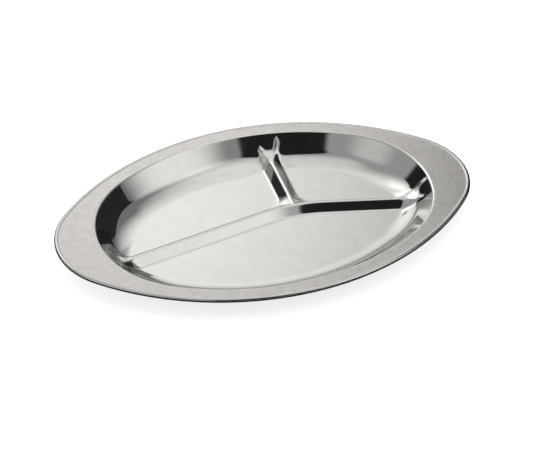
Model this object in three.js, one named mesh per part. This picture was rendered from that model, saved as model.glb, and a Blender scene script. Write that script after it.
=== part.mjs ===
// Divided lunch plate: one stainless sheet pressed into a well with a three-armed divider, its edge rolled.
// Millimetres, +Z up, +X along the plate. The origin is under its middle, on the surface that it rests on.
import * as THREE from "three";
import { mergeVertices } from "three/addons/utils/BufferGeometryUtils.js";

// Sheet
const SHEET = 0.6;

// Outline of the plate, an oval of four arcs measured over the rolled edge
const PLATE_LENGTH = 300;
const PLATE_WIDTH = 193;
const PLATE_END_RADIUS = 55.6;

// Well: a flat brim, wide at the ends, leaves an oval mouth, where the sheet turns down to a flat floor
const BRIM_END = 28.5;
const BRIM_SIDE = 10.5;
const MOUTH_END_RADIUS = 72.6;
const WELL_DEPTH = 17.5;
const WALL_ANGLE = THREE.MathUtils.degToRad(45);
const MOUTH_BEND = 2.5;
const FLOOR_BEND = 25;

// Divider, pressed up from the floor: two arms share a bent ridge, a third stands square on its bend
const JUNCTION = new THREE.Vector2(24.9, 10.2);
const RIGHT_HEADING = THREE.MathUtils.degToRad(-16);
const LEFT_HEADING = THREE.MathUtils.degToRad(189.5);
const RIDGE_RADIUS = 100;
const DIVIDER_HEIGHT = 5.4;
const DIVIDER_ANGLE = THREE.MathUtils.degToRad(40);
const DIVIDER_CROWN = 2;
const DIVIDER_FOOT = 3;

// Ends of the arms: from the reach inside the mouth on, the crown spreads to both sides as it climbs the wall
const END_FLARE = 7.5;
const FLARE_REACH = 24;

// Blends, over which two sheets melt into one: divider into wall, and arm into arm
const WALL_BLEND = 6;
const JUNCTION_BLEND = 11;

// Rolled edge: the bead stands a little above the brim, past a shallow groove
const BEAD_DIAMETER = 3.2;
const BEAD_RISE = 0.5;
const GROOVE_RADIUS = 1.5;
const ROLL_END = THREE.MathUtils.degToRad(-150);

// Facets
const CROWN_STEPS = 2;
const RIB_FLANK_STEPS = 2;
const RIB_FOOT_STEPS = 3;
const MOUTH_BEND_STEPS = 2;
const WALL_STEPS = 4;
const FLOOR_BEND_STEPS = 4;
const ARM_STEP = 10;
const MOUTH_STEP = THREE.MathUtils.degToRad(5.5);
const GROOVE_STEPS = 2;
const BEAD_STEPS = 9;
const BEAD_INSIDE_STEPS = 6;
const SLOPE_STEP = 0.01;
const BISECTIONS = 48;

// An oval of four arcs: two round ends and two flatter sides that meet them without a corner.
class Oval {
  constructor(length, width, endRadius) {
    const a = length / 2;
    const b = width / 2;
    this.endRadius = endRadius;
    this.endCentre = a - endRadius;
    this.sideRadius = (a * a - 2 * a * endRadius + b * b) / (2 * (b - endRadius));
    this.sideCentre = this.sideRadius - b;
    this.split = Math.atan2(this.sideCentre, this.endCentre);
  }

  // The parallel oval that lies the given distance inside this one.
  shrunk(distance) {
    const endRadius = this.endRadius - distance;
    const length = 2 * (this.endCentre + endRadius);
    const width = 2 * (this.sideRadius - distance - this.sideCentre);
    return new Oval(length, width, endRadius);
  }

  onEnd(point) {
    const beyond = (Math.abs(point.x) - this.endCentre) * this.sideCentre;
    return beyond >= Math.abs(point.y) * this.endCentre;
  }

  // Direction, as an angle, in which the oval faces at the point of it nearest to the given one.
  facing(point) {
    const side = Math.sign(point.x) || 1;
    const back = Math.sign(point.y) || 1;
    return this.onEnd(point)
      ? Math.atan2(point.y, point.x - side * this.endCentre)
      : Math.atan2(point.y + back * this.sideCentre, point.x);
  }

  // How far inside the oval a point lies.
  inset(point) {
    const px = Math.abs(point.x);
    const py = Math.abs(point.y);
    return this.onEnd(point)
      ? this.endRadius - Math.hypot(px - this.endCentre, py)
      : this.sideRadius - Math.hypot(px, py + this.sideCentre);
  }

  // The point of the oval that faces along the given angle.
  pointFacing(angle) {
    const cos = Math.cos(angle);
    const sin = Math.sin(angle);
    const onEnd = Math.atan2(Math.abs(sin), Math.abs(cos)) <= this.split;
    return onEnd
      ? new THREE.Vector2(Math.sign(cos) * this.endCentre + this.endRadius * cos, this.endRadius * sin)
      : new THREE.Vector2(this.sideRadius * cos, this.sideRadius * sin - Math.sign(sin) * this.sideCentre);
  }
}

const outline = new Oval(PLATE_LENGTH, PLATE_WIDTH, PLATE_END_RADIUS);
const mouth = new Oval(PLATE_LENGTH - 2 * BRIM_END, PLATE_WIDTH - 2 * BRIM_SIDE, MOUTH_END_RADIUS);
const brimTop = SHEET + WELL_DEPTH;

// Distance along a ray, from a point inside the oval, to where it crosses the oval.
function reach(oval, start, direction) {
  let inside = 0;
  let outside = PLATE_LENGTH;
  for (let i = 0; i < BISECTIONS; i += 1) {
    const middle = (inside + outside) / 2;
    if (oval.inset(start.clone().addScaledVector(direction, middle)) > 0) inside = middle;
    else outside = middle;
  }
  return (inside + outside) / 2;
}

// One arm of the divider: it leaves the junction, turns through an arc and runs on straight.
class Arm {
  constructor(heading, turn) {
    this.heading = heading;
    this.turn = turn;
    this.arcLength = Math.abs(turn) * RIDGE_RADIUS;
  }

  // Unit vectors along the arm, and to its left, where it has turned by an angle.
  along(turned) {
    return new THREE.Vector2(Math.cos(this.heading + turned), Math.sin(this.heading + turned));
  }

  across(turned) {
    return new THREE.Vector2(-Math.sin(this.heading + turned), Math.cos(this.heading + turned));
  }

  // The point that lies a distance out along the ridge and a distance to its left.
  at(out, left) {
    const side = Math.sign(this.turn);
    const turned = side * Math.min(out / RIDGE_RADIUS, Math.abs(this.turn));
    return JUNCTION.clone()
      .addScaledVector(this.across(0), side * RIDGE_RADIUS)
      .addScaledVector(this.across(turned), left - side * RIDGE_RADIUS)
      .addScaledVector(this.along(turned), Math.max(out - this.arcLength, 0));
  }

  // How far out the line at a distance to the left starts: a corner point lies as far from the bent ridge
  // as from the back arm's, so it forms a right triangle with the centre of the bend.
  start(left) {
    const aside = Math.abs(left);
    const fromCentre = RIDGE_RADIUS + aside;
    if (this.turn === 0) return Math.sqrt(fromCentre * fromCentre - aside * aside) - RIDGE_RADIUS;
    return left * this.turn < 0 ? RIDGE_RADIUS * Math.asin(aside / fromCentre) : 0;
  }

  // How far out the line at a distance to the left crosses the mouth.
  end(left) {
    return this.arcLength + reach(mouth, this.at(this.arcLength, left), this.along(this.turn));
  }
}

// The right, back and left arm: the back arm's heading lies midway between those of the other two
const ridgeTurn = (LEFT_HEADING - RIGHT_HEADING - Math.PI) / 2;
const backHeading = (LEFT_HEADING + RIGHT_HEADING) / 2;
const backArm = new Arm(backHeading, 0);
const arms = [
  new Arm(backHeading - Math.PI / 2, -ridgeTurn),
  backArm,
  new Arm(backHeading + Math.PI / 2, ridgeTurn),
];
const nextArm = (index) => (index + 1) % arms.length;

// The larger of two values, with the crease between them rounded where they differ by less than the blend.
function smoothMax(first, second, blend) {
  const overlap = Math.max(blend - Math.abs(first - second), 0);
  return Math.max(first, second) + overlap * overlap / (4 * Math.max(blend, Number.EPSILON));
}

// Height of a sheet that is level up to an edge, rounds over it and then falls straight, without end.
function shoulder(distance, top, radius, angle) {
  const bendWidth = radius * Math.sin(angle);
  const past = Math.max(distance, 0);
  if (past < bendWidth) return top - radius + Math.sqrt(radius * radius - past * past);
  return top - radius * (1 - Math.cos(angle)) - (past - bendWidth) * Math.tan(angle);
}

// Brings a falling sheet to rest on the floor, at height 0, through an arc of the given radius.
function settle(height, angle, radius) {
  const run = height / Math.tan(angle);
  const tangent = radius * Math.tan(angle / 2);
  if (run <= -tangent) return 0;
  if (run >= tangent * Math.cos(angle)) return height;
  return radius - Math.sqrt(radius * radius - (run + tangent) ** 2);
}

// Distance from the nearer of the bent ridge and the back arm, with the corners between them filled.
// The plan is the same on both sides of the back arm.
function dividerDistance(point) {
  const from = point.clone().sub(JUNCTION);
  const ahead = from.dot(backArm.along(0));
  const aside = Math.abs(from.dot(backArm.across(0)));
  const out = ahead + RIDGE_RADIUS;
  const fromCentre = Math.atan2(aside, out) < ridgeTurn
    ? Math.hypot(aside, out)
    : out * Math.cos(ridgeTurn) + aside * Math.sin(ridgeTurn);
  const beside = Math.hypot(aside, Math.min(ahead, 0));
  const fill = JUNCTION_BLEND * THREE.MathUtils.smoothstep(ahead, 0, JUNCTION_BLEND);
  return -smoothMax(-Math.abs(fromCentre - RIDGE_RADIUS), -beside, fill);
}

// Height of the upper side of the sheet above the floor, anywhere inside the mouth.
function pressedHeight(point) {
  const inset = mouth.inset(point);
  const wall = shoulder(inset, WELL_DEPTH, MOUTH_BEND, WALL_ANGLE);
  const flare = END_FLARE * THREE.MathUtils.smoothstep(FLARE_REACH - inset, 0, FLARE_REACH);
  const rib = shoulder(dividerDistance(point) - flare, DIVIDER_HEIGHT, DIVIDER_CROWN, DIVIDER_ANGLE);
  const share = THREE.MathUtils.smoothstep(wall - rib, -WALL_BLEND, WALL_BLEND);
  const angle = THREE.MathUtils.lerp(DIVIDER_ANGLE, WALL_ANGLE, share);
  const radius = THREE.MathUtils.lerp(DIVIDER_FOOT, FLOOR_BEND, share);
  return settle(smoothMax(wall, rib, WALL_BLEND), angle, radius);
}

// Direction square to the pressed sheet, from the slopes of its height.
function pressedNormal(point) {
  const slope = (dx, dy) =>
    pressedHeight(new THREE.Vector2(point.x + dx, point.y + dy)) -
    pressedHeight(new THREE.Vector2(point.x - dx, point.y - dy));
  return new THREE.Vector3(-slope(SLOPE_STEP, 0), -slope(0, SLOPE_STEP), 2 * SLOPE_STEP).normalize();
}

const upperSide = (point) => new THREE.Vector3(point.x, point.y, SHEET + pressedHeight(point));
const lowerSide = (point) => upperSide(point).addScaledVector(pressedNormal(point), -SHEET);

// Distances from the top of a shoulder to the floor at which the section is cut into facets.
function sectionStations(top, radius, angle, foot, bendSteps, flankSteps, footSteps) {
  const bendWidth = radius * Math.sin(angle);
  const footWidth = foot * Math.sin(angle);
  const flankDrop = top - (radius + foot) * (1 - Math.cos(angle));
  const flankWidth = flankDrop / Math.tan(angle);
  const stations = [];
  for (let i = 0; i < bendSteps; i += 1) stations.push(radius * Math.sin(angle * i / bendSteps));
  for (let i = 0; i < flankSteps; i += 1) stations.push(bendWidth + flankWidth * i / flankSteps);
  for (let i = footSteps; i >= 0; i -= 1) {
    stations.push(bendWidth + flankWidth + footWidth - foot * Math.sin(angle * i / footSteps));
  }
  return stations;
}

const ribStations = sectionStations(
  DIVIDER_HEIGHT, DIVIDER_CROWN, DIVIDER_ANGLE, DIVIDER_FOOT, CROWN_STEPS, RIB_FLANK_STEPS, RIB_FOOT_STEPS);
const wallStations = sectionStations(
  WELL_DEPTH, MOUTH_BEND, WALL_ANGLE, FLOOR_BEND, MOUTH_BEND_STEPS, WALL_STEPS, FLOOR_BEND_STEPS);
const wallWidth = wallStations.at(-1);

// A line of plan points along an arm at one distance to its left, from the junction up to the mouth.
function armLine(arm, left) {
  const start = arm.start(left);
  const end = arm.end(left);
  const steps = Math.ceil(arm.end(0) / ARM_STEP);
  const line = [];
  for (let i = 0; i < steps; i += 1) {
    line.push(arm.at(THREE.MathUtils.lerp(start, end - wallWidth, i / steps), left));
  }
  return line.concat(wallStations.toReversed().map((station) => arm.at(end - station, left)));
}

// The strip of plan points that covers an arm, from its right foot to its left foot.
function armGrid(arm) {
  const rights = ribStations.slice(1).toReversed().map((station) => -station);
  return rights.concat(ribStations).map((left) => armLine(arm, left));
}

// Lines of plan points down the wall, from the left foot of one arm to the right foot of the next.
// At each station they turn evenly from the direction of the one foot to that of the other.
function wallGrid(armGrids, index) {
  const count = wallStations.length;
  const first = armGrids[index].at(-1).slice(-count).reverse();
  const last = armGrids[nextArm(index)][0].slice(-count).reverse();
  const starts = first.map((point) => mouth.facing(point));
  const turns = last.map((point, k) =>
    THREE.MathUtils.euclideanModulo(mouth.facing(point) - starts[k], 2 * Math.PI));
  const parallels = wallStations.map((station) => mouth.shrunk(station));
  const steps = Math.ceil(turns[0] / MOUTH_STEP);
  const lines = [first];
  for (let i = 1; i < steps; i += 1) {
    lines.push(parallels.map((oval, k) => oval.pointFacing(starts[k] + turns[k] * i / steps)));
  }
  lines.push(last);
  return lines;
}

// Flat floor of a compartment: out along one arm, round the foot of the wall and back along the next arm.
function floorOutline(armGrids, wallGrids, index) {
  const top = wallStations.length - 1;
  const out = armGrids[index].at(-1).slice(0, -top);
  const round = wallGrids[index].slice(1, -1).map((line) => line.at(-1));
  const home = armGrids[nextArm(index)][0].slice(1, -top).reverse();
  return [...out, ...round, ...home];
}

// Triangles, collected as corner points.
class Skin {
  constructor() {
    this.positions = [];
  }

  triangle(a, b, c) {
    for (const corner of [a, b, c]) this.positions.push(corner.x, corner.y, corner.z);
  }

  // A grid of points, given as lines, that faces the viewer who sees its lines run up and follow to the left.
  grid(lines) {
    for (let i = 0; i + 1 < lines.length; i += 1) {
      for (let j = 0; j + 1 < lines[i].length; j += 1) {
        this.triangle(lines[i][j], lines[i][j + 1], lines[i + 1][j + 1]);
        this.triangle(lines[i][j], lines[i + 1][j + 1], lines[i + 1][j]);
      }
    }
  }

  geometry() {
    const geometry = new THREE.BufferGeometry();
    geometry.setAttribute("position", new THREE.Float32BufferAttribute(this.positions, 3));
    const merged = mergeVertices(geometry);
    merged.computeVertexNormals();
    return merged;
  }
}

// Section of the edge outside the mouth, as distance in from the outline and height, from the brim's
// upper side over the groove and round the bead to its cut edge, then back inside to the brim's lower side.
function edgeSection() {
  const bead = BEAD_DIAMETER / 2;
  const beadCentre = new THREE.Vector2(bead, brimTop + BEAD_RISE - bead);
  const centres = bead + GROOVE_RADIUS;
  const lean = Math.acos((centres - BEAD_RISE) / centres);
  const grooveCentre = new THREE.Vector2(bead + centres * Math.sin(lean), brimTop + GROOVE_RADIUS);
  const arc = (centre, radius, from, to, steps) =>
    Array.from({ length: steps + 1 }, (_, i) => {
      const angle = THREE.MathUtils.lerp(from, to, i / steps);
      return new THREE.Vector2(centre.x - radius * Math.cos(angle), centre.y + radius * Math.sin(angle));
    });
  const down = -Math.PI / 2;
  const rollStart = Math.PI / 2 + lean;
  return [
    ...arc(grooveCentre, GROOVE_RADIUS, down, down + lean, GROOVE_STEPS),
    ...arc(beadCentre, bead, rollStart, ROLL_END, BEAD_STEPS).slice(1),
    ...arc(beadCentre, bead - SHEET, ROLL_END, rollStart, BEAD_INSIDE_STEPS),
    ...arc(grooveCentre, GROOVE_RADIUS + SHEET, down + lean, down, GROOVE_STEPS).slice(1),
  ];
}

// The edge outside one point of the mouth, from the mouth's upper side out round the bead to its lower side.
function edgeLine(mouthPoint, section) {
  const rim = mouthPoint.clone().normalize();
  const onOutline = rim.multiplyScalar(reach(outline, new THREE.Vector2(), rim));
  const facing = outline.facing(onOutline);
  const outward = new THREE.Vector2(Math.cos(facing), Math.sin(facing));
  const swept = section.map(({ x, y }) => {
    const plan = onOutline.clone().addScaledVector(outward, -x);
    return new THREE.Vector3(plan.x, plan.y, y);
  });
  return [upperSide(mouthPoint), ...swept, lowerSide(mouthPoint)];
}

function plateGeometry() {
  const skin = new Skin();
  const armGrids = arms.map(armGrid);
  const wallGrids = arms.map((_, index) => wallGrid(armGrids, index));
  const wallsUp = wallGrids.map((lines) => lines.map((line) => line.toReversed()));
  for (const lines of [...armGrids, ...wallsUp]) {
    skin.grid(lines.map((line) => line.map(upperSide)));
    skin.grid(lines.toReversed().map((line) => line.map(lowerSide)));
  }
  arms.forEach((_, index) => {
    const floor = floorOutline(armGrids, wallGrids, index);
    for (const [a, b, c] of THREE.ShapeUtils.triangulateShape(floor, [])) {
      skin.triangle(upperSide(floor[a]), upperSide(floor[b]), upperSide(floor[c]));
      skin.triangle(lowerSide(floor[a]), lowerSide(floor[c]), lowerSide(floor[b]));
    }
  });
  const section = edgeSection();
  const rim = arms.flatMap((_, index) => [
    ...armGrids[index].slice(0, -1).map((line) => line.at(-1)),
    ...wallGrids[index].slice(0, -1).map((line) => line[0]),
  ]);
  skin.grid([...rim, rim[0]].map((point) => edgeLine(point, section)));
  return skin.geometry();
}

const stainless = new THREE.MeshStandardMaterial({ color: 0xd6d3ce, metalness: 1, roughness: 0.22 });

const plate = new THREE.Mesh(plateGeometry(), stainless);
plate.name = "pressed_plate";

const lunchPlate = new THREE.Group();
lunchPlate.add(plate);

export default lunchPlate;
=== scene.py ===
"""Divided lunch plate: one pressed stainless sheet with a rolled edge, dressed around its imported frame.

Metres, +Z up, +X along the plate. The origin is under its middle, on the surface that it rests on.
"""

from __future__ import annotations

import logging
from dataclasses import dataclass, field
from enum import Enum
from functools import partial, reduce
from math import acos, ceil, cos, pi, radians, sin, tan

import bpy
import numpy as np
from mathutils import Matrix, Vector


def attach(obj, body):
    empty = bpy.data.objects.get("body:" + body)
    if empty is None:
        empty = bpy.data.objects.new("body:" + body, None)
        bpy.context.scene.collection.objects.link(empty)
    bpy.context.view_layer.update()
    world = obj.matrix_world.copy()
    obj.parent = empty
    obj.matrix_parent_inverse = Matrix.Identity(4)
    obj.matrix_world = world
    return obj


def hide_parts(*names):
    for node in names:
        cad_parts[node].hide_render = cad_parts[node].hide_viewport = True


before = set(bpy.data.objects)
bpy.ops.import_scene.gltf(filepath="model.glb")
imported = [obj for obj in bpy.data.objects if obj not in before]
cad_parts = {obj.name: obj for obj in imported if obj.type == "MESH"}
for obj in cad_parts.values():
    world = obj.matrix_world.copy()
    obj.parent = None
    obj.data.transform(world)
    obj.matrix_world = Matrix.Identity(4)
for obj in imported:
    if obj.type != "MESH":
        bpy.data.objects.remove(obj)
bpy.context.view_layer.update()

Array = np.ndarray
Socket = bpy.types.NodeSocket
Inputs = dict[str | int, object]
Colour = tuple[float, float, float, float]
Corner = tuple[float, float, float]
SQUARE = ((-1, -1), (1, -1), (1, 1), (-1, 1))
log = logging.getLogger("lunch_plate")


class Finish(Enum):
    """How far the sheet was left satin: the value of the satin attribute on the mesh."""

    MIRROR = 0.0
    UNDERSIDE = 0.45
    SATIN = 1.0


@dataclass(frozen=True)
class Oval:
    """An oval of four arcs: two round ends and two flatter sides that meet them without a corner."""

    length: float
    width: float
    end_radius: float

    @property
    def end_centre(self) -> float:
        """Distance of each end's centre from the middle."""
        return self.length / 2 - self.end_radius

    @property
    def side_radius(self) -> float:
        """Radius of the sides, which the width and the meeting with the ends fix.

        Returns:
            The radius.
        """
        half_length, half_width = self.length / 2, self.width / 2
        spread = half_length**2 - 2 * half_length * self.end_radius + half_width**2
        return spread / (2 * (half_width - self.end_radius))

    @property
    def side_centre(self) -> float:
        """Distance of each side's centre beyond the middle."""
        return self.side_radius - self.width / 2

    def _on_end(self, plan: Array) -> Array:
        """Whether each point lies in the part of the plan that a round end serves."""
        beyond = (np.abs(plan[..., 0]) - self.end_centre) * self.side_centre
        return beyond >= np.abs(plan[..., 1]) * self.end_centre

    def inset(self, plan: Array) -> Array:
        """How far inside the oval each point lies: the arc's radius less the distance from its centre.

        Args:
            plan: Points, as an array that ends in x and y.

        Returns:
            The distances, negative outside.
        """
        x, y = np.abs(plan[..., 0]), np.abs(plan[..., 1])
        end = self.end_radius - np.hypot(x - self.end_centre, y)
        side = self.side_radius - np.hypot(x, y + self.side_centre)
        return np.where(self._on_end(plan), end, side)

    def facing(self, plan: Array) -> Array:
        """Angle of the outward direction, at the point of the oval nearest to each given one.

        Args:
            plan: Points, as an array that ends in x and y.

        Returns:
            The angles, anticlockwise from +X.
        """
        x, y = plan[..., 0], plan[..., 1]
        end = np.arctan2(y, x - np.copysign(self.end_centre, x))
        side = np.arctan2(y + np.copysign(self.side_centre, y), x)
        return np.where(self._on_end(plan), end, side)

    def point_facing(self, angle: Array, inset: Array) -> Array:
        """Points of the parallel ovals that face along the given angles.

        Args:
            angle: Outward directions, anticlockwise from +X.
            inset: How far inside this oval each parallel oval lies.

        Returns:
            Points, as an array that ends in x and y.
        """
        across, along = np.cos(angle), np.sin(angle)
        end, side = self.end_radius - inset, self.side_radius - inset
        steep = np.abs(along) * self.end_centre
        on_end = steep <= np.abs(across) * self.side_centre
        x = np.where(on_end, np.copysign(self.end_centre, across) + end * across, side * across)
        y = np.where(on_end, end * along, side * along - np.copysign(self.side_centre, along))
        return np.stack([x, y], axis=-1)

    def reach(self, start: Array, direction: Array) -> Array:
        """Distance along each ray to the oval, found by halving the span that holds the crossing.

        Args:
            start: Points inside the oval.
            direction: Unit vectors, one for each start or one for all.

        Returns:
            The distances.
        """
        halvings = 48
        inside = np.zeros(np.broadcast_shapes(start.shape, direction.shape)[:-1])
        outside = inside + 2 * self.length
        for _ in range(halvings):
            middle = (inside + outside) / 2
            within = self.inset(start + direction * middle[..., None]) > 0
            inside, outside = np.where(within, middle, inside), np.where(within, outside, middle)
        return (inside + outside) / 2


@dataclass(frozen=True)
class Fold:
    """A sheet that is level at its top, rounds over, falls straight and rounds out onto the floor."""

    top: float
    bend: float
    slope: float
    foot: float

    def fall(self, distance: Array) -> Array:
        """Height at a distance from the top edge: a circular arc of the bend, then a straight fall.

        Args:
            distance: Distances past the edge where the sheet starts to turn down.

        Returns:
            Heights above the floor, which go on falling below it.
        """
        past = np.maximum(distance, 0)
        width = self.bend * sin(self.slope)
        arc = self.top - self.bend + np.sqrt(self.bend**2 - np.minimum(past, width) ** 2)
        return arc - np.maximum(past - width, 0) * tan(self.slope)

    def stations(self, bend_steps: int, flank_steps: int, foot_steps: int) -> Array:
        """Distances from the top edge to the floor at which the section is cut, at even turns of its arcs.

        Args:
            bend_steps: Facets in the upper arc.
            flank_steps: Facets in the straight fall.
            foot_steps: Facets in the lower arc.

        Returns:
            The distances, in rising order.
        """
        bend_width, foot_width = self.bend * sin(self.slope), self.foot * sin(self.slope)
        drop = self.top - (self.bend + self.foot) * (1 - cos(self.slope))
        flank_end = bend_width + drop / tan(self.slope)
        bend = self.bend * np.sin(np.linspace(0, self.slope, bend_steps + 1))
        flank = np.linspace(bend_width, flank_end, flank_steps + 1)
        foot = flank_end + foot_width - self.foot * np.sin(np.linspace(self.slope, 0, foot_steps + 1))
        return np.concatenate([bend, flank[1:], foot[1:]])


def smooth_max(first: Array, second: Array, blend: Array | float) -> Array:
    """The larger of two heights, plus a parabola that fills the crease where they differ by under blend.

    Args:
        first: Heights of one sheet.
        second: Heights of the other.
        blend: Height over which the two melt into one.

    Returns:
        The joined heights.
    """
    overlap = np.maximum(blend - np.abs(first - second), 0)
    return np.maximum(first, second) + overlap**2 / (4 * np.maximum(blend, np.finfo(float).eps))


def smooth_step(value: Array) -> Array:
    """The cubic 3t² - 2t³ that eases from 0 to 1."""
    share = np.clip(value, 0, 1)
    return share**2 * (3 - 2 * share)


@dataclass(frozen=True)
class Arm:
    """One arm of the divider: it leaves the junction, turns through an arc and runs on straight."""

    junction: tuple[float, float]
    heading: float
    turn: float
    radius: float

    @property
    def bend_length(self) -> float:
        """Length of the arc, measured along the ridge."""
        return abs(self.turn) * self.radius

    def along(self, turned: Array | float) -> Array:
        """Unit vector along the arm where it has turned by an angle."""
        return np.stack([np.cos(self.heading + turned), np.sin(self.heading + turned)], axis=-1)

    def across(self, turned: Array | float) -> Array:
        """Unit vector to the left of the arm where it has turned by an angle."""
        return np.stack([-np.sin(self.heading + turned), np.cos(self.heading + turned)], axis=-1)

    def at(self, out: Array, left: Array) -> Array:
        """Plan points that lie a distance out along the ridge and a distance to its left.

        On the arc a point lies on the circle about the arc's centre whose radius is that of the ridge, less
        the distance towards the centre. Past the arc it is carried straight on.

        Args:
            out: Distances along the ridge from the junction.
            left: Distances to the left of the ridge.

        Returns:
            Points, as an array that ends in x and y.
        """
        side = np.sign(self.turn)
        turned = side * np.minimum(out / self.radius, abs(self.turn))
        beyond = np.maximum(out - self.bend_length, 0)
        centre = np.array(self.junction) + side * self.radius * self.across(0.0)
        swing = (left - side * self.radius)[..., None] * self.across(turned)
        return centre + swing + beyond[..., None] * self.along(turned)


@dataclass(frozen=True)
class Welt:
    """A low welt: one runs on up the wall from each shoulder of an arm and dies out below the mouth."""

    height: float
    width: float
    offset: float
    small_top: float
    top: float
    foot: float
    fade: float

    def rise(self, inset: Array, aside: Array, small: Array) -> Array:
        """Height of the welt: a bell across it, eased to nothing at both ends.

        Args:
            inset: How far inside the mouth each point lies.
            aside: How far each point lies from the edge of the arm's crown.
            small: Whether it lies in the small compartment, where the welts climb higher.

        Returns:
            The heights above the wall.
        """
        top = np.where(small, self.small_top, self.top)
        span = smooth_step((inset - top) / self.fade) * smooth_step((self.foot - inset) / self.fade)
        return self.height * span * np.exp(-(((aside - self.offset) / self.width) ** 2))


@dataclass(frozen=True)
class PressedWell:
    """The pressed part of the sheet: wall, floor and the three-armed divider that runs into the wall."""

    mouth: Oval
    wall: Fold
    rib: Fold
    junction: tuple[float, float]
    right_heading: float
    left_heading: float
    bend_radius: float
    wall_blend: float
    junction_blend: float
    end_flare: float
    flare_reach: float
    welt: Welt
    crease_blend: float
    crease_fade: float
    crease_start: float
    slope_step: float = 0.00001

    @property
    def back_heading(self) -> float:
        """Heading of the back arm, which stands square on the middle of the bend."""
        return (self.right_heading + self.left_heading) / 2

    @property
    def bend(self) -> float:
        """Angle through which the ridge turns from the back arm's foot to each side arm."""
        return (self.left_heading - self.right_heading - pi) / 2

    @property
    def arms(self) -> tuple[Arm, Arm, Arm]:
        """The right, back and left arm, each turning to the left of the one before."""
        quarter = pi / 2
        return (
            Arm(self.junction, self.back_heading - quarter, -self.bend, self.bend_radius),
            Arm(self.junction, self.back_heading, 0.0, self.bend_radius),
            Arm(self.junction, self.back_heading + quarter, self.bend, self.bend_radius),
        )

    def arm_start(self, arm: Arm, left: Array) -> Array:
        """How far out an arm's lines start: at the front on the back arm's axis, else where two arms meet.

        At a back corner a line lies as far from the bend's ridge as from the back arm's, so it forms a right
        triangle with the bend's centre.

        Args:
            arm: The arm.
            left: Distances of the lines to the left of its ridge.

        Returns:
            Distances along the ridge.
        """
        reach = self.bend_radius + np.abs(left)
        if arm.turn == 0:
            return np.sqrt(reach**2 - left**2) - self.bend_radius
        at_back = left * arm.turn < 0
        return np.where(at_back, self.bend_radius * np.arcsin(np.abs(left) / reach), 0.0)

    def _ridge_distance(self, plan: Array) -> Array:
        """Distance from the divider's ridge, with the two back corners filled.

        The bend counts from its centre, the side arms from their straight lines and the back arm from its
        own line. Both sides are alike, so the distance aside is taken without its sign.

        Args:
            plan: Points, as an array that ends in x and y.

        Returns:
            The distances.
        """
        offset = plan - np.array(self.junction)
        back = self.arms[1]
        ahead, aside = offset @ back.along(0.0), np.abs(offset @ back.across(0.0))
        out = ahead + self.bend_radius
        on_bend = np.hypot(aside, out)
        on_side = out * cos(self.bend) + aside * sin(self.bend)
        ridge = np.abs(np.where(np.arctan2(aside, out) < self.bend, on_bend, on_side) - self.bend_radius)
        beside = np.hypot(aside, np.minimum(ahead, 0))
        fill = self.junction_blend * smooth_step(ahead / self.junction_blend)
        return -smooth_max(-ridge, -beside, fill)

    def _in_small(self, plan: Array) -> Array:
        """Whether each point lies in the small compartment: behind the right arm, right of the back arm.

        The right arm sets out on an arc, so its straight part passes the junction by the arc's rise.

        Args:
            plan: Points, as an array that ends in x and y.

        Returns:
            True for the points inside it.
        """
        right, back, _ = self.arms
        offset = plan - np.array(self.junction)
        behind = offset @ right.across(right.turn) > self.bend_radius * (1 - cos(self.bend))
        return behind & (offset @ back.across(0.0) < 0)

    def height(self, plan: Array) -> Array:
        """Height of the upper side above the floor.

        The wall falls with the distance inside the mouth and the divider with the distance from its ridge,
        whose crown spreads into a widening flat as it nears the mouth. The higher of the two counts, with the
        crease between them filled, less and less on the way up the wall, and the welts raise it there. An arc
        lays it on the floor: the radius less the root of the radius squared less the run past the arc's start
        squared.

        Args:
            plan: Points inside the mouth, as an array that ends in x and y.

        Returns:
            The heights.
        """
        inset = self.mouth.inset(plan)
        wall = self.wall.fall(inset)
        flare = self.end_flare * smooth_step(1 - inset / self.flare_reach)
        aside = self._ridge_distance(plan) - flare
        below = smooth_step(2 * inset / self.crease_start - 1)
        filled = self.crease_blend + (self.wall_blend - self.crease_blend) * below
        blend = filled * smooth_step(inset / self.crease_fade)
        rib = smooth_max(self.rib.top, wall, blend) - self.rib.top + self.rib.fall(aside)
        share = smooth_step((wall - rib + self.wall_blend) / (2 * self.wall_blend))
        slope = self.rib.slope + share * (self.wall.slope - self.rib.slope)
        foot = self.rib.foot + share * (self.wall.foot - self.rib.foot)
        falling = smooth_max(wall, rib, blend) + self.welt.rise(inset, aside, self._in_small(plan))
        run = falling / np.tan(slope)
        tangent = foot * np.tan(slope / 2)
        past = np.clip(run + tangent, 0, foot * np.sin(slope))
        resting = foot - np.sqrt(foot**2 - past**2)
        return np.where(run >= tangent * np.cos(slope), falling, resting)

    def normal(self, plan: Array) -> Array:
        """Unit vectors square to the sheet, from the rise of its height over a small step each way.

        Args:
            plan: Points inside the mouth, as an array that ends in x and y.

        Returns:
            Vectors that point up, away from the upper side.
        """
        step = self.slope_step
        rise = [
            self.height(plan + np.array(way)) - self.height(plan - np.array(way))
            for way in ((step, 0), (0, step))
        ]
        steep = np.stack([-rise[0], -rise[1], np.full_like(rise[0], 2 * step)], axis=-1)
        return steep / np.linalg.norm(steep, axis=-1, keepdims=True)


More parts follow.
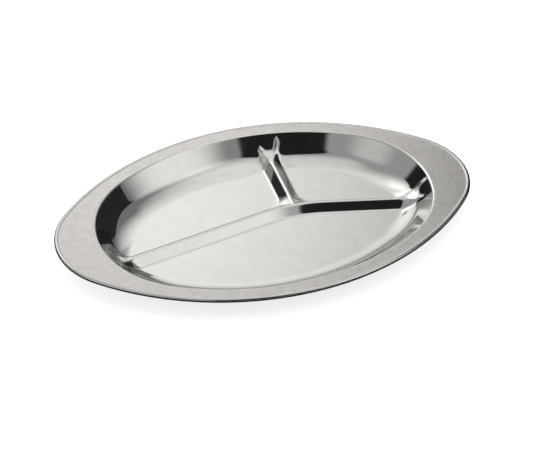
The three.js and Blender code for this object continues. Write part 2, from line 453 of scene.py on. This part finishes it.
@dataclass
class Skin:
    """A closed skin, gathered as patches of points and faces and then welded into one mesh."""

    weld: float = 1e-7
    points: list[Array] = field(default_factory=list)
    satin: list[Array] = field(default_factory=list)
    faces: list[Array] = field(default_factory=list)
    count: int = 0

    def grid(self, points: Array, satin: Array | float) -> None:
        """Adds a grid that faces the viewer who sees its rows run up and follow one another to the left.

        Args:
            points: Points, by row and by place in the row.
            satin: Satin value of each point, or one for all.
        """
        rows, columns = points.shape[:2]
        index = self.count + np.arange(rows * columns).reshape(rows, columns)
        quads = np.stack([index[:-1, :-1], index[:-1, 1:], index[1:, 1:], index[1:, :-1]], axis=-1)
        self.points.append(points.reshape(-1, 3))
        self.satin.append(np.broadcast_to(satin, (rows, columns)).reshape(-1))
        self.faces.append(quads.reshape(-1, 4))
        self.count += rows * columns

    def mesh(self, name: str) -> bpy.types.Mesh:
        """Welds the patches where their points coincide and makes a mesh with a satin attribute.

        Args:
            name: Name of the mesh.

        Returns:
            The mesh, shaded smooth.
        """
        points, faces = np.concatenate(self.points), np.concatenate(self.faces)
        keys = np.round(points / self.weld).astype(np.int64)
        _, first, welded = np.unique(keys, axis=0, return_index=True, return_inverse=True)
        faces = welded.reshape(-1)[faces]
        flat = (faces == np.roll(faces, 1, axis=1)).any(axis=1)
        closing = [list(dict.fromkeys(face)) for face in faces[flat].tolist()]
        mesh = bpy.data.meshes.new(name)
        mesh.from_pydata(points[first].tolist(), [], faces[~flat].tolist() + closing)
        finish = mesh.attributes.new("satin", "FLOAT", "POINT")
        finish.data.foreach_set("value", np.concatenate(self.satin)[first].astype(np.float32))
        mesh.validate()
        mesh.shade_smooth()
        return mesh


@dataclass
class LunchPlate:
    """The plate: one sheet with a flat brim, a pressed well with its divider, and an edge rolled under."""

    sheet: float = 0.0006
    outline: Oval = Oval(0.300, 0.193, 0.0556)
    well: PressedWell = PressedWell(
        mouth=Oval(0.243, 0.172, 0.0726),
        wall=Fold(top=0.0175, bend=0.0025, slope=radians(45), foot=0.025),
        rib=Fold(top=0.0054, bend=0.0020, slope=radians(40), foot=0.0030),
        junction=(0.0249, 0.0102),
        right_heading=radians(-16),
        left_heading=radians(189.5),
        bend_radius=0.100,
        wall_blend=0.006,
        junction_blend=0.011,
        end_flare=0.0075,
        flare_reach=0.024,
        welt=Welt(
            height=0.0008, width=0.0016, offset=0.001, small_top=0.002, top=0.006, foot=0.015, fade=0.005
        ),
        crease_blend=0.0006,
        crease_fade=0.005,
        crease_start=0.016,
    )
    satin_reach: float = 0.0010
    bead_diameter: float = 0.0032
    bead_rise: float = 0.0005
    groove_radius: float = 0.0015
    roll_end: float = radians(-150)
    polish_turn: float = radians(90)
    polish_fade: float = radians(15)
    rib_steps: tuple[int, int, int] = (8, 8, 8)
    wall_steps: tuple[int, int, int] = (8, 10, 18)
    arm_step: float = 0.003
    turn_step: float = radians(1.4)
    crowding: float = 0.7
    floor_rings: tuple[float, ...] = (1.0, 0.99, 0.96, 0.9, 0.8, 0.6, 0.4, 0.2, 0.0)
    brim_cuts: tuple[float, ...] = (0.0, 0.03, 0.15, 0.35, 0.6, 0.85, 0.97)
    groove_steps: int = 5
    bead_steps: int = 32
    hollow_steps: int = 16

    @property
    def brim_top(self) -> float:
        """Height of the brim's upper side above the table."""
        return self.sheet + self.well.wall.top

    def _arm_strip(self, arm: int) -> Array:
        """Plan points that cover an arm, row by row from its right foot to its left foot.

        Each row runs out to the mouth from where it meets the neighbouring arm's row, in even steps over the
        floor and then at the wall's own stations.

        Args:
            arm: Which arm.

        Returns:
            Points by row and by place along the arm.
        """
        well, path = self.well, self.well.arms[arm]
        half = well.rib.stations(*self.rib_steps)
        left = np.concatenate([-half[:0:-1], half])
        straight = path.at(np.full_like(left, path.bend_length), left)
        end = path.bend_length + well.mouth.reach(straight, path.along(path.turn))
        start = well.arm_start(path, left)
        stations = well.wall.stations(*self.wall_steps)
        steps = ceil(end.max() / self.arm_step)
        share = np.arange(steps) / steps
        floor = start[:, None] + (end - stations[-1] - start)[:, None] * share
        out = np.concatenate([floor, end[:, None] - stations[::-1]], axis=1)
        return path.at(out, np.broadcast_to(left[:, None], out.shape))

    def _wall_strip(self, strips: list[Array], arm: int) -> Array:
        """Plan points of the wall between an arm and the next, row by row, each row up to the mouth.

        At each station the rows turn from the direction of the one arm's foot to that of the other, by even
        shares that a sine wave crowds together beside the arms, more and more towards the mouth.

        Args:
            strips: The arms' own points.
            arm: Which arm the wall follows.

        Returns:
            Points by row and by place up the wall.
        """
        mouth = self.well.mouth
        stations = self.well.wall.stations(*self.wall_steps)[::-1]
        first = strips[arm][-1, -len(stations) :]
        last = strips[(arm + 1) % len(strips)][0, -len(stations) :]
        start = mouth.facing(first)
        turn = (mouth.facing(last) - start) % (2 * pi)
        even = np.linspace(0, 1, ceil(turn[-1] / self.turn_step) + 1)[:, None]
        crowding = self.crowding * np.linspace(0, 1, len(stations))
        share = even - crowding * np.sin(2 * pi * even) / (2 * pi)
        rows = mouth.point_facing(start + turn * share, stations)
        rows[0], rows[-1] = first, last
        return rows

    def _floor(self, strips: list[Array], walls: list[Array], arm: int) -> Array:
        """Plan points of a compartment's flat floor: its outline, drawn in ring by ring to its middle.

        Args:
            strips: The arms' points.
            walls: The walls' points.
            arm: Which arm the compartment lies to the left of.

        Returns:
            Points by ring and by place round the ring, which closes on its first point.
        """
        top = sum(self.wall_steps)
        out = strips[arm][-1, :-top]
        home = strips[(arm + 1) % len(strips)][0, :-top]
        outline = np.concatenate([out, walls[arm][1:-1, 0], home[:0:-1], out[:1]])
        middle = outline[:-1].mean(axis=0)
        return middle + np.array(self.floor_rings)[:, None, None] * (outline - middle)

    def _mouth_satin(self, plan: Array) -> Array:
        """Satin value of the well: the brim's satin runs a little way over the mouth and fades out."""
        inset = self.well.mouth.inset(plan)
        return Finish.SATIN.value * smooth_step(2 * (1 - inset / self.satin_reach))

    def _edge_section(self) -> tuple[Array, Array]:
        """The groove and the bead as distance in from the outline, height and satin value.

        It follows circular arcs from the brim's upper side over the groove and round the bead to the cut
        edge, then back inside the bead to the brim's lower side.

        Returns:
            The section's points, and how satin each is.
        """
        bead = self.bead_diameter / 2
        centres = bead + self.groove_radius
        lean = acos((centres - self.bead_rise) / centres)
        bead_centre = (bead, self.brim_top + self.bead_rise - bead)
        groove_centre = (bead + centres * sin(lean), self.brim_top + self.groove_radius)
        down, roll_start = -pi / 2, pi / 2 + lean
        arcs = [
            (groove_centre, self.groove_radius, down, down + lean, self.groove_steps),
            (bead_centre, bead, roll_start, self.roll_end, self.bead_steps),
            (bead_centre, bead - self.sheet, self.roll_end, roll_start, self.hollow_steps),
            (groove_centre, self.groove_radius + self.sheet, down + lean, down, self.groove_steps),
        ]
        turns = [np.linspace(start, end, steps + 1) for _, _, start, end, steps in arcs]
        drawn = [
            np.stack([centre[0] - radius * np.cos(turn), centre[1] + radius * np.sin(turn)], axis=-1)
            for (centre, radius, *_), turn in zip(arcs, turns)
        ]
        section = np.concatenate([drawn[0], drawn[1][1:], drawn[2], drawn[3][1:]])
        satin = np.full(len(section), Finish.UNDERSIDE.value)
        satin[: len(drawn[0])] = Finish.SATIN.value
        rolled = smooth_step((turns[1][1:] - self.polish_turn) / self.polish_fade)
        satin[len(drawn[0]) :][: len(rolled)] = Finish.SATIN.value * rolled
        return section, satin

    def _edge_strip(self, rim: Array) -> tuple[Array, Array]:
        """The brim and the rolled edge: the section carried round the outline, opposite each mouth point.

        Args:
            rim: Mouth points in order, closing on the first.

        Returns:
            Points by place round the rim and along the section, and the satin value of each.
        """
        ray = rim / np.linalg.norm(rim, axis=-1, keepdims=True)
        on_outline = ray * self.outline.reach(np.zeros_like(ray), ray)[:, None]
        facing = self.outline.facing(on_outline)
        outward = np.stack([np.cos(facing), np.sin(facing)], axis=-1)
        section, polish = self._edge_section()
        plan = on_outline[:, None, :] - section[None, :, :1] * outward[:, None, :]
        height = np.broadcast_to(section[None, :, 1:], (len(rim), len(section), 1))
        edge = np.concatenate([plan, height], axis=-1)
        cuts = np.array(self.brim_cuts)[:, None]
        upper = self.upper(rim)[:, None] + cuts * (edge[:, :1] - self.upper(rim)[:, None])
        lower = self.lower(rim)[:, None] + cuts[::-1] * (edge[:, -1:] - self.lower(rim)[:, None])
        satin = np.full(len(cuts), Finish.SATIN.value)
        return np.concatenate([upper, edge, lower], axis=1), np.concatenate([satin, polish, satin[::-1]])

    def upper(self, plan: Array) -> Array:
        """Points of the upper side over the plan points."""
        height = self.sheet + self.well.height(plan)
        return np.concatenate([plan, height[..., None]], axis=-1)

    def lower(self, plan: Array) -> Array:
        """Points of the lower side: the upper side moved in by the sheet's thickness, square to it."""
        return self.upper(plan) - self.sheet * self.well.normal(plan)

    def build(self) -> bpy.types.Object:
        """Makes the plate's mesh and puts it in the scene.

        Returns:
            The plate.
        """
        arms = range(len(self.well.arms))
        strips = [self._arm_strip(arm) for arm in arms]
        walls = [self._wall_strip(strips, arm) for arm in arms]
        floors = [self._floor(strips, walls, arm) for arm in arms]
        skin = Skin()
        rim = np.concatenate([np.concatenate([strips[arm][:-1, -1], walls[arm][:-1, -1]]) for arm in arms])
        skin.grid(*self._edge_strip(np.concatenate([rim, rim[:1]])))
        for plan in [*strips, *walls, *floors]:
            skin.grid(self.upper(plan), self._mouth_satin(plan))
            skin.grid(self.lower(plan)[::-1], Finish.UNDERSIDE.value)
        plate = bpy.data.objects.new("plate_sheet", skin.mesh("plate_sheet"))
        bpy.context.scene.collection.objects.link(plate)
        return plate

    def dress(self, plate: bpy.types.Object, finish: StainlessFinish) -> None:
        """Gives the plate its finish and its place in the frame.

        Args:
            plate: The plate.
            finish: Its steel.
        """
        plate.data.materials.append(finish.material())
        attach(plate, "root")
        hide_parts("pressed_plate")


@dataclass(frozen=True)
class Ease:
    """A smooth step: its result goes from start to end as what is read goes from low to high."""

    low: float
    high: float
    start: float = 0.0
    end: float = 1.0


class Wiring:
    """Adds nodes to one node tree and links them."""

    def __init__(self, tree: bpy.types.NodeTree) -> None:
        """Starts from an empty tree."""
        self.tree = tree
        tree.nodes.clear()

    def add(self, kind: str, inputs: Inputs | None = None, **settings: object) -> bpy.types.Node:
        """Adds a node.

        Args:
            kind: The node's type.
            inputs: Values or sockets for its inputs, by name or place.
            **settings: The node's own properties.

        Returns:
            The node.
        """
        node = self.tree.nodes.new(kind)
        for name, value in settings.items():
            setattr(node, name, value)
        for place, value in (inputs or {}).items():
            self.feed(value, node.inputs[place])
        return node

    def feed(self, value: object, socket: Socket) -> None:
        """Links a socket to an input, or sets the input's own value.

        Args:
            value: A socket or a plain value.
            socket: The input.
        """
        if isinstance(value, Socket):
            self.tree.links.new(value, socket)
        else:
            socket.default_value = value

    def math(self, operation: str, *operands: Socket | float) -> Socket:
        """The result of a Math node on up to three operands."""
        return self.add("ShaderNodeMath", dict(enumerate(operands)), operation=operation).outputs[0]

    def vector(self, operation: str, *operands: object) -> bpy.types.Node:
        """A Vector Math node on one or two operands."""
        return self.add("ShaderNodeVectorMath", dict(enumerate(operands)), operation=operation)

    def product(self, *factors: Socket | float) -> Socket:
        """The product of two or more values."""
        return reduce(partial(self.math, "MULTIPLY"), factors)

    def largest(self, *values: Socket | float) -> Socket:
        """The largest of two or more values."""
        return reduce(partial(self.math, "MAXIMUM"), values)

    def noise(self, place: Socket, scale: float, detail: float) -> Socket:
        """Even noise between 0 and 1, with about one bump in each 1 / scale metres."""
        inputs = {"Vector": place, "Scale": scale, "Detail": detail}
        return self.add("ShaderNodeTexNoise", inputs, normalize=True).outputs[0]

    def ease(self, value: Socket | float, step: Ease) -> Socket:
        """Carries a value through a smooth step.

        Args:
            value: What is read.
            step: The step.

        Returns:
            The step's result.
        """
        ends = {"From Min": step.low, "From Max": step.high, "To Min": step.start, "To Max": step.end}
        node = self.add("ShaderNodeMapRange", {"Value": value, **ends}, interpolation_type="SMOOTHSTEP")
        return node.outputs[0]

    def mix(self, factor: Socket | float, first: Socket | float, second: Socket | float) -> Socket:
        """A value that goes from first to second as the factor goes from 0 to 1."""
        return self.add("ShaderNodeMix", {0: factor, 2: first, 3: second}, data_type="FLOAT").outputs[0]

    def blend(self, factor: Socket | float, first: object, second: object) -> Socket:
        """A colour that goes from first to second as the factor goes from 0 to 1."""
        return self.add("ShaderNodeMix", {0: factor, 6: first, 7: second}, data_type="RGBA").outputs[2]

    def surface(self, shader: bpy.types.Node, glow: bpy.types.Node | None = None) -> None:
        """Gives the material its surface.

        Args:
            shader: The surface's own shader.
            glow: A shader that is added to it.
        """
        if glow:
            shader = self.add("ShaderNodeAddShader", {0: shader.outputs[0], 1: glow.outputs[0]})
        self.add("ShaderNodeOutputMaterial", {"Surface": shader.outputs[0]})


def start_material(name: str) -> tuple[bpy.types.Material, Wiring]:
    """Makes a material that has no nodes yet.

    Args:
        name: Name of the material.

    Returns:
        The material, and the wiring for its nodes.
    """
    material = bpy.data.materials.new(name)
    material.use_nodes = True
    return material, Wiring(material.node_tree)


@dataclass(frozen=True)
class StainlessFinish:
    """Stainless steel: a mirror where it was drawn and polished, a fine grain where it was left satin."""

    polished: tuple[Colour, Colour] = ((0.588, 0.588, 0.567, 1.0), (0.611, 0.611, 0.590, 1.0))
    brushed: tuple[Colour, Colour] = ((0.486, 0.467, 0.441, 1.0), (0.70, 0.68, 0.654, 1.0))
    mirror_roughness: tuple[float, float] = (0.04, 0.07)
    satin_roughness: tuple[float, float] = (0.36, 0.48)
    contrast: Ease = Ease(0.35, 0.65)
    grain_scale: float = 1100.0
    grain_detail: float = 3.0
    grain_depth: float = 0.000006
    mottle_scale: float = 160.0
    mottle_share: float = 0.25
    smear_scale: float = 90.0
    smear_detail: float = 4.0
    wave_scale: float = 38.0
    wave_detail: float = 1.0
    wave_depth: float = 0.00002

    def material(self) -> bpy.types.Material:
        """Makes the material.

        The satin attribute says how much each place shows of the grain, which speckles its colour, roughness
        and height, and how much of the polish, whose smears vary the gloss and whose slow press waves bend
        what it mirrors.

        Returns:
            The material.
        """
        material, wiring = start_material("stainless_steel")
        satin = wiring.add("ShaderNodeAttribute", attribute_name="satin").outputs["Fac"]
        place = wiring.add("ShaderNodeTexCoord").outputs["Object"]
        fine = wiring.noise(place, self.grain_scale, self.grain_detail)
        coarse = wiring.noise(place, self.mottle_scale, self.grain_detail)
        grain = wiring.ease(wiring.mix(self.mottle_share, fine, coarse), self.contrast)
        smear = wiring.ease(wiring.noise(place, self.smear_scale, self.smear_detail), self.contrast)
        wave = wiring.noise(place, self.wave_scale, self.wave_detail)
        polished = wiring.blend(smear, *self.polished)
        brushed = wiring.blend(grain, *self.brushed)
        gloss = wiring.mix(smear, *self.mirror_roughness)
        sheen = wiring.mix(grain, *self.satin_roughness)
        waves = wiring.product(wave, self.wave_depth)
        height = wiring.mix(satin, waves, wiring.product(grain, self.grain_depth))
        bump = wiring.add("ShaderNodeBump", {"Strength": 1.0, "Distance": 1.0, "Height": height})
        steel = {
            "Base Color": wiring.blend(satin, polished, brushed),
            "Metallic": 1.0,
            "Roughness": wiring.mix(satin, gloss, sheen),
            "Normal": bump.outputs[0],
        }
        wiring.surface(wiring.add("ShaderNodeBsdfPrincipled", steel))
        return material


def toward(azimuth: float, elevation: float) -> Vector:
    """Unit vector in a direction.

    Args:
        azimuth: Angle from the front, anticlockwise as seen from above.
        elevation: Angle above the table.

    Returns:
        The vector.
    """
    level = cos(elevation)
    return Vector((sin(azimuth) * level, -cos(azimuth) * level, sin(elevation)))


def stage_panel(name: str, corners: list[Corner], material: bpy.types.Material) -> bpy.types.Object:
    """Puts a flat panel of the studio into the scene.

    Args:
        name: Name of the panel.
        corners: Its corners, in order.
        material: Its material.

    Returns:
        The panel.
    """
    mesh = bpy.data.meshes.new(name)
    mesh.from_pydata(corners, [], [range(len(corners))])
    mesh.materials.append(material)
    panel = bpy.data.objects.new(name, mesh)
    bpy.context.scene.collection.objects.link(panel)
    return panel


@dataclass(frozen=True)
class Table:
    """A matt pale table, white to the camera, that the metal sees dark where the plate shades it."""

    size: float = 6.0
    gap: float = 0.0003
    colour: float = 0.92
    lift: float = 0.78
    shaded_colour: float = 0.02
    shade: Ease = Ease(0.35, 0.8, 1.0, 0.0)
    shade_stretch: tuple[float, float, float] = (1.0, 1.4, 0.0)

    def build(self) -> bpy.types.Object:
        """Lays the table just under the plate.

        Returns:
            The table.
        """
        half = self.size / 2
        corners = [(x * half, y * half, -self.gap) for x, y in SQUARE]
        return stage_panel("table", corners, self._material())

    def _material(self) -> bpy.types.Material:
        """Adds a lift towards white for the camera and the metal, but not for the metal in the plate's shade.

        Returns:
            The material.
        """
        material, wiring = start_material("pale_table")
        path = wiring.add("ShaderNodeLightPath").outputs
        place = wiring.add("ShaderNodeTexCoord").outputs["Object"]
        oval = wiring.vector("MULTIPLY", place, self.shade_stretch).outputs[0]
        away = wiring.vector("LENGTH", oval).outputs["Value"]
        shaded = wiring.product(path["Is Glossy Ray"], wiring.ease(away, self.shade))
        seen = wiring.largest(path["Is Camera Ray"], path["Is Glossy Ray"])
        lift = wiring.product(wiring.math("SUBTRACT", seen, shaded), self.lift)
        pale = wiring.mix(shaded, self.colour, self.shaded_colour)
        matt = wiring.add("ShaderNodeBsdfDiffuse", {"Color": pale})
        wiring.surface(matt, wiring.add("ShaderNodeEmission", {"Strength": lift}))
        return material


@dataclass(frozen=True)
class Softbox:
    """A near light behind the plate, brightest in its middle and masked low on the left."""

    azimuth: float = radians(174.7)
    elevation: float = radians(33.2)
    distance: float = 0.57
    radius: float = 0.56
    strength: float = 1.02
    mask_lean: float = 0.85
    mask: Ease = Ease(0.02, 0.08)

    def build(self) -> bpy.types.Object:
        """Hangs the softbox, square to the line from the plate and out of the camera's sight.

        Returns:
            The softbox.
        """
        facing = toward(self.azimuth, self.elevation)
        across = Vector((-facing.y, facing.x, 0.0)).normalized() * self.radius
        upward = facing.cross(across)
        middle = facing * self.distance
        corners = [tuple(middle + across * x + upward * y) for x, y in SQUARE]
        softbox = stage_panel("softbox", corners, self._material(middle))
        softbox.visible_camera = False
        return softbox

    def _material(self, middle: Vector) -> bpy.types.Material:
        """A clear sheet that glows round its middle and fades out at the radius.

        The mask hides the places where the height plus a share of x is small.

        Args:
            middle: The softbox's middle.

        Returns:
            The material.
        """
        material, wiring = start_material("softbox")
        place = wiring.add("ShaderNodeTexCoord").outputs["Object"]
        away = wiring.vector("DISTANCE", place, middle).outputs["Value"]
        x, _, z = wiring.add("ShaderNodeSeparateXYZ", {0: place}).outputs
        bare = wiring.ease(wiring.math("MULTIPLY_ADD", x, self.mask_lean, z), self.mask)
        level = wiring.product(bare, wiring.ease(away, Ease(0.0, self.radius, self.strength, 0.0)))
        clear = wiring.add("ShaderNodeBsdfTransparent")
        wiring.surface(clear, wiring.add("ShaderNodeEmission", {"Strength": level}))
        return material


@dataclass(frozen=True)
class Flag:
    """A black panel to the right of the plate, upright, whose upper edge falls towards the back.

    The edge's corners say how far back and how high they are.
    """

    distance: float = 0.25
    edge: tuple[tuple[float, float], ...] = (
        (-0.0105, 0.272),
        (0.079, 0.19),
        (0.144, 0.172),
        (0.25, 0.15),
        (0.32, 0.0),
    )
    colour: Colour = (0.05, 0.05, 0.05, 1.0)

    def build(self) -> bpy.types.Object:
        """Stands the panel up, where only the metal sees it.

        Returns:
            The panel.
        """
        material, wiring = start_material("black_cloth")
        wiring.surface(wiring.add("ShaderNodeBsdfDiffuse", {"Color": self.colour}))
        outline = [(self.edge[0][0], 0.0), *self.edge[::-1]]
        flag = stage_panel("flag", [(self.distance, y, z) for y, z in outline], material)
        flag.visible_camera = False
        flag.visible_diffuse = False
        flag.visible_shadow = False
        return flag


@dataclass(frozen=True)
class Glow:
    """A soft light far off: a round patch of the tent that fades to nothing at its edge."""

    azimuth: float
    elevation: float
    radius: float
    strength: float

    def level(self, wiring: Wiring, direction: Socket) -> Socket:
        """How much light comes from a direction, by the cosine of its angle from the middle."""
        near = wiring.vector("DOT_PRODUCT", direction, toward(self.azimuth, self.elevation))
        return wiring.ease(near.outputs["Value"], Ease(cos(self.radius), 1.0, 0.0, self.strength))


@dataclass(frozen=True)
class Bearing:
    """A direction's parts to the right, to the back and up, and the sine of its level angle from the back."""

    right: Socket
    back: Socket
    up: Socket
    side: Socket


@dataclass(frozen=True)
class Tent:
    """A grey tent round the plate with soft lights in it, which is open to the dark room in places.

    Where its parts start and end is given by the parts of a bearing.
    """

    left_light: Ease = Ease(0.9, 1.0, 0.443, 0.875)
    right_light: Ease = Ease(0.74, 1.0, 0.247, 1.316)
    left_to_right: Ease = Ease(-0.16, 0.5)
    dark: float = 0.02
    dim: float = 0.05
    white: Colour = (1.0, 1.0, 1.0, 1.0)
    in_front: Ease = Ease(-0.1, 0.0, 1.0, 0.0)
    behind: Ease = Ease(0.0, 0.1)
    front_centre: tuple[float, float] = (-0.05, 0.808)
    front_radii: tuple[float, float] = (0.268, 0.122)
    front_edge: Ease = Ease(0.75, 1.0, 1.0, 0.0)
    left_climb: float = -0.55
    left_height: float = 0.075
    left_edge: Ease = Ease(-0.04, 0.04)
    left_ends: tuple[Ease, Ease] = (Ease(-0.8, -0.74), Ease(-0.36, -0.28, 1.0, 0.0))
    gap_middle: float = -0.05
    gap_side: Ease = Ease(0.3, 0.4, 1.0, 0.0)
    gap_top: Ease = Ease(0.6, 0.72, 1.0, 0.0)
    hem: Ease = Ease(0.08, 0.35, 1.0, 0.0)
    hem_end: Ease = Ease(0.45, 0.75, 1.0, 0.0)
    glows: tuple[Glow, ...] = (
        Glow(radians(53), radians(44), radians(21.5), 0.96),
        Glow(radians(-72), radians(33.5), radians(30), 0.355),
        Glow(radians(200), radians(36), radians(22), 0.59),
    )

    def _front_opening(self, wiring: Wiring, bearing: Bearing) -> Socket:
        """The oval opening above the camera: its distances from the centre over its radii, squared and added.

        Args:
            wiring: The world's wiring.
            bearing: Where the light comes from.

        Returns:
            A share that is 1 in the opening.
        """
        squares = []
        for part, centre, radius in zip((bearing.right, bearing.up), self.front_centre, self.front_radii):
            share = wiring.math("DIVIDE", wiring.math("SUBTRACT", part, centre), radius)
            squares.append(wiring.product(share, share))
        inside = wiring.ease(wiring.math("ADD", *squares), self.front_edge)
        return wiring.product(inside, wiring.ease(bearing.back, self.in_front))

    def _left_opening(self, wiring: Wiring, bearing: Bearing) -> Socket:
        """The low opening at the back on the left, whose upper edge climbs towards the left.

        Args:
            wiring: The world's wiring.
            bearing: Where the light comes from.

        Returns:
            A share that is 1 in the opening.
        """
        edge = wiring.math("MULTIPLY_ADD", bearing.side, self.left_climb, self.left_height)
        below = wiring.ease(wiring.math("SUBTRACT", edge, bearing.up), self.left_edge)
        ends = [wiring.ease(bearing.side, end) for end in self.left_ends]
        return wiring.product(below, *ends, wiring.ease(bearing.back, self.behind))

    def _front_gap(self, wiring: Wiring, bearing: Bearing) -> Socket:
        """The dim gap in the tent through which the camera looks in.

        Args:
            wiring: The world's wiring.
            bearing: Where the light comes from.

        Returns:
            A share that is 1 in the gap.
        """
        aside = wiring.math("ABSOLUTE", wiring.math("SUBTRACT", bearing.side, self.gap_middle))
        inside = wiring.product(wiring.ease(aside, self.gap_side), wiring.ease(bearing.up, self.gap_top))
        return wiring.product(inside, wiring.ease(bearing.back, self.in_front))

    def _horizon(self, wiring: Wiring, bearing: Bearing) -> Socket:
        """The dark room under the tent's hem, except behind the plate, as a share that is 1 there."""
        return wiring.product(wiring.ease(bearing.up, self.hem), wiring.ease(bearing.back, self.hem_end))

    def build(self) -> bpy.types.World:
        """Lights the scene with the tent, as a world whose brightness depends on the direction.

        Returns:
            The world.
        """
        world = bpy.data.worlds.new("grey_tent")
        bpy.context.scene.world = world
        world.use_nodes = True
        wiring = Wiring(world.node_tree)
        direction = wiring.add("ShaderNodeTexCoord").outputs["Generated"]
        right, back, up = wiring.add("ShaderNodeSeparateXYZ", {0: direction}).outputs
        level = wiring.math("SQRT", wiring.math("SUBTRACT", 1.0, wiring.product(up, up)))
        bearing = Bearing(right, back, up, wiring.math("DIVIDE", right, level))
        sides = [wiring.ease(up, light) for light in (self.left_light, self.right_light)]
        tent = wiring.mix(wiring.ease(right, self.left_to_right), *sides)
        for glow in self.glows:
            tent = wiring.math("ADD", tent, glow.level(wiring, direction))
        tent = wiring.mix(self._front_gap(wiring, bearing), tent, self.dim)
        openings = (self._front_opening, self._left_opening, self._horizon)
        open_share = wiring.largest(*(opening(wiring, bearing) for opening in openings))
        tent = wiring.mix(open_share, tent, self.dark)
        seen = wiring.add("ShaderNodeLightPath").outputs["Is Camera Ray"]
        strength = wiring.mix(seen, tent, 1.0)
        sky = wiring.add("ShaderNodeBackground", {"Color": self.white, "Strength": strength})
        wiring.add("ShaderNodeOutputWorld", {"Surface": sky.outputs[0]})
        return world


@dataclass(frozen=True)
class PhotoCamera:
    """A camera at the photograph's viewing angle, fitted to the plate's outline."""

    azimuth: float = radians(-19.99)
    elevation: float = radians(37.53)
    distance: float = 1.5
    target: tuple[float, float, float] = (0.0, 0.0, 0.017)
    frame_width: int = 540
    frame_height: int = 450
    pixels_per_metre: float = 1440.1
    target_pixel: tuple[float, float] = (265.7, 207.6)

    def build(self) -> bpy.types.Object:
        """Makes the camera and looks through it.

        Returns:
            The camera.
        """
        lens = bpy.data.cameras.new("camera")
        focal_pixels = self.pixels_per_metre * self.distance
        lens.lens = focal_pixels * lens.sensor_width / self.frame_width
        lens.shift_x = (self.frame_width / 2 - self.target_pixel[0]) / self.frame_width
        lens.shift_y = (self.target_pixel[1] - self.frame_height / 2) / self.frame_width
        back = toward(self.azimuth, self.elevation)
        camera = bpy.data.objects.new("camera", lens)
        camera.location = Vector(self.target) + back * self.distance
        camera.rotation_euler = (-back).to_track_quat("-Z", "Y").to_euler()
        bpy.context.scene.collection.objects.link(camera)
        bpy.context.scene.camera = camera
        return camera


def main() -> None:
    """Builds the plate, the studio and the camera."""
    logging.basicConfig(level=logging.INFO, format="%(message)s")
    bpy.context.scene.view_settings.view_transform = "Standard"
    plate = LunchPlate()
    sheet = plate.build()
    plate.dress(sheet, StainlessFinish())
    log.info("%s: %d faces", sheet.name, len(sheet.data.polygons))
    for prop in (Table(), Softbox(), Flag(), Tent(), PhotoCamera()):
        log.info("%s placed", prop.build().name)


if __name__ == "__main__":
    main()
